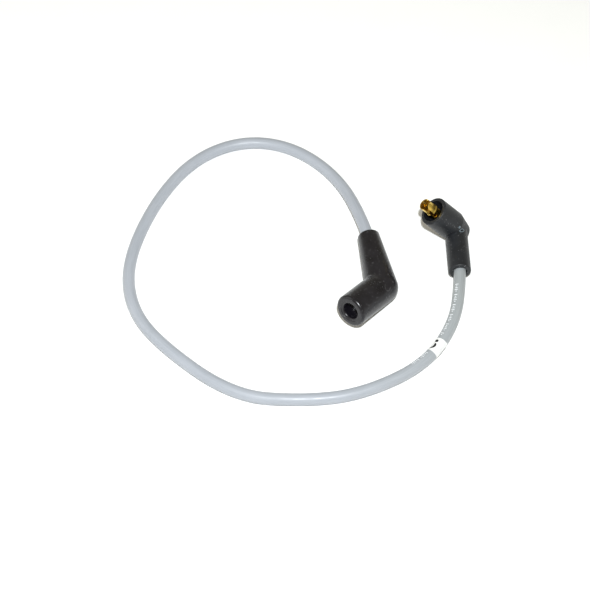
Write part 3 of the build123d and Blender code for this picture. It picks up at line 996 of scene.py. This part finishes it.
def transformer_terminal(paints):
    """Front of the snap terminal, rolled from sheet brass and split by two slots."""
    vertices, faces = snap_sheet()
    matrix = boot_matrix(TRANSFORMER_ELBOW, TRANSFORMER_NECK_AZIMUTH, TRANSFORMER_ROLL)
    work = bmesh.new()
    made = [work.verts.new(matrix @ v) for v in vertices]
    for face in faces:
        work.faces.new([made[k] for k in face])
    loose = [v for v in work.verts if not v.link_faces]
    bmesh.ops.delete(work, geom=loose, context="VERTS")
    bmesh.ops.recalc_face_normals(work, faces=work.faces)
    mesh = bpy.data.meshes.new("transformer_snap_terminal")
    work.to_mesh(mesh)
    work.free()
    terminal = bpy.data.objects.new("transformer_snap_terminal", mesh)
    bpy.context.scene.collection.objects.link(terminal)
    thicken(terminal)
    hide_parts("transformer_terminal")
    return finish_piece(terminal, "transformer_end", paints["contact_brass"])


# ---------------------------------------------------------------- carried-over CAD nodes

NODE_PAINTS = {
    "electrode_socket": "socket_metal_painted_shade",
    "electrode_snap_ring": "spring_wire",
    "transformer_boot": "transformer_boot_rubber",
}
LAYER_PAINTS = {
    "jacket": "cable_sheath",
    "glass_braid": "glass_braid",
    "insulation": "insulation",
    "conductor": "conductor",
}


def paint_node(name, material):
    mesh = nodes[name].data
    mesh.materials.clear()
    mesh.materials.append(material)


def paint_nodes(paints):
    for name, paint in NODE_PAINTS.items():
        paint_node(name, paints[paint])
    for end in ("electrode", "transformer"):
        for layer, slot in LAYER_PAINTS.items():
            paint_node(f"{end}_end_{layer}", paints[slot])


# ---------------------------------------------------------------- floor and light

def make_floor():
    half = FLOOR_HALF
    corners = [(-half, -half, 0), (half, -half, 0), (half, half, 0), (-half, half, 0)]
    floor = new_object("floor", corners, [(0, 1, 2, 3)])
    floor.data.materials.append(floor_surface())


def area_light(name, place, target, width, height, watts, colour=(1, 1, 1)):
    data = bpy.data.lights.new(name, "AREA")
    data.shape = "RECTANGLE"
    data.size = width
    data.size_y = height
    data.energy = watts
    data.color = colour
    light = bpy.data.objects.new(name, data)
    light.location = place
    light.rotation_euler = (Vector(target) - Vector(place)).to_track_quat("-Z", "Y").to_euler()
    bpy.context.scene.collection.objects.link(light)


def make_light():
    """A flash above the camera, a soft box on the left, and dim warm surroundings."""
    middle = tuple(VIEW_TARGET)
    camera = bpy.context.scene.camera
    right = camera.matrix_world.to_3x3() @ Vector((1, 0, 0))
    up = camera.matrix_world.to_3x3() @ Vector((0, 1, 0))
    flash = camera.location + right * FLASH_RIGHT + up * FLASH_UP
    area_light("flash", flash, middle, FLASH_SIZE, FLASH_SIZE, FLASH_WATTS, FLASH_COLOUR)
    area_light("left_box", BOX_PLACE, middle, BOX_WIDTH, BOX_HEIGHT, BOX_WATTS)
    world = bpy.data.worlds.new("world")
    world.use_nodes = True
    background = world.node_tree.nodes["Background"]
    background.inputs["Color"].default_value = SURROUNDINGS_COLOUR
    background.inputs["Strength"].default_value = SURROUNDINGS_STRENGTH
    bpy.context.scene.world = world
    bpy.context.scene.view_settings.view_transform = "Standard"


# ---------------------------------------------------------------- build the scene

make_camera()
cable_line = Line(spline_line(ROUTE))
paints = {
    "cable_sheath": cable_sheath(),
    "glass_braid": glass_braid(),
    "insulation": core_insulation(),
    "conductor": metal(
        "conductor", dark=(0.66, 0.62, 0.57), light=(0.80, 0.76, 0.70),
        low_roughness=0.25, high_roughness=0.4),
    "label_film": label_film(),
    "print_white": print_ink(
        "print_white", dark=(0.62, 0.66, 0.70), light=(0.95, 0.97, 0.99)),
    "print_black": print_ink(
        "print_black", dark=(0.006, 0.006, 0.007), light=(0.02, 0.02, 0.022)),
    # Grey of the painted shade stripe along the label's outer side.
    "label_painted_shade": print_ink(
        "label_painted_shade", dark=(0.14, 0.145, 0.15), light=(0.24, 0.245, 0.25)),
    "electrode_boot_rubber": rubber(
        "electrode_boot_rubber", dark=(0.0030, 0.0025, 0.0045), light=(0.0105, 0.0093, 0.0130),
        low_roughness=0.25, high_roughness=0.37, dust=0.688),
    "transformer_boot_rubber": rubber(
        "transformer_boot_rubber", dark=(0.004, 0.005, 0.007), light=(0.011, 0.013, 0.017),
        low_roughness=0.44, high_roughness=0.56, dust=0.685),
    # Moulded mark coloured paler than the boot's rubber: a painted highlight.
    "electrode_boot_marks_painted_highlight": rubber(
        "electrode_boot_marks_painted_highlight", dark=(0.03, 0.03, 0.031), light=(0.055, 0.055, 0.057),
        low_roughness=0.25, high_roughness=0.4, dust=0.72),
    # Moulded marks coloured paler than the boot's rubber: a painted highlight.
    "transformer_boot_marks_painted_highlight": rubber(
        "transformer_boot_marks_painted_highlight", dark=(0.09, 0.115, 0.135), light=(0.17, 0.21, 0.235),
        low_roughness=0.35, high_roughness=0.5, dust=0.72),
    "contact_brass": metal(
        "contact_brass", dark=(0.58, 0.37, 0.06), light=(0.86, 0.64, 0.16),
        low_roughness=0.24, high_roughness=0.36),
    # Contact socket deep in the electrode boot's mouth: its metal is painted dark, a painted shade.
    "socket_metal_painted_shade": metal(
        "socket_metal_painted_shade", dark=(0.12, 0.122, 0.13), light=(0.18, 0.182, 0.19),
        low_roughness=0.06, high_roughness=0.12),
    "spring_wire": metal(
        "spring_wire", dark=(0.55, 0.55, 0.55), light=(0.72, 0.72, 0.72),
        low_roughness=0.2, high_roughness=0.35),
}
cable_layers = make_cable(cable_line, paints)
label = make_label(cable_line, paints)
cable_print = make_cable_print(cable_line, paints)
label_marks = make_label_marks(cable_line, paints)
make_boot_marks(electrode_boot(paints), paints)
transformer_terminal(paints)
paint_nodes(paints)
make_floor()
make_light()
